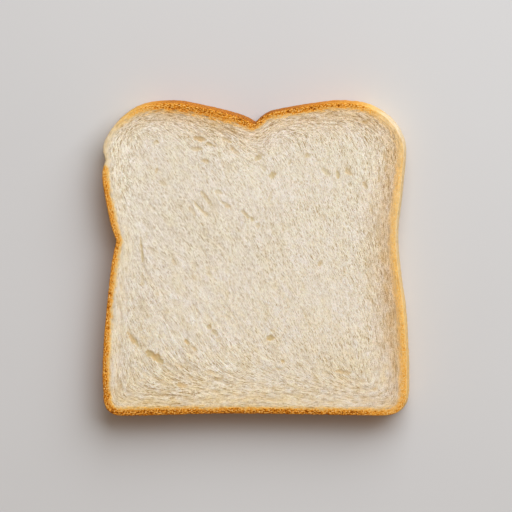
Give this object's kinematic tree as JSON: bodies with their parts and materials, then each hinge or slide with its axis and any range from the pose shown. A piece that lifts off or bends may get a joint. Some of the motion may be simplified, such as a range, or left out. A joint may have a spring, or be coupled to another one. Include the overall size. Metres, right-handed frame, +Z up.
{
  "type": "bread slice",
  "caption": "Slice of white tin-baked sandwich bread with a thin golden crust, a flat base and a two-lobed crown, lying on its flat cut face.",
  "frame": {"origin": "under the middle of the slice's box, on the surface that the lower cut face rests on", "axes": "+Z up through the thickness of the slice, +Y from the loaf's flat base to its two-lobed crown, +X to the right of the slice seen from above"},
  "size_m": [0.112, 0.1154, 0.013],
  "materials": {
    "bread": "matte"
  },
  "bodies": {
    "root": {"bread_slice": "bread"}
  },
  "joints": []
}
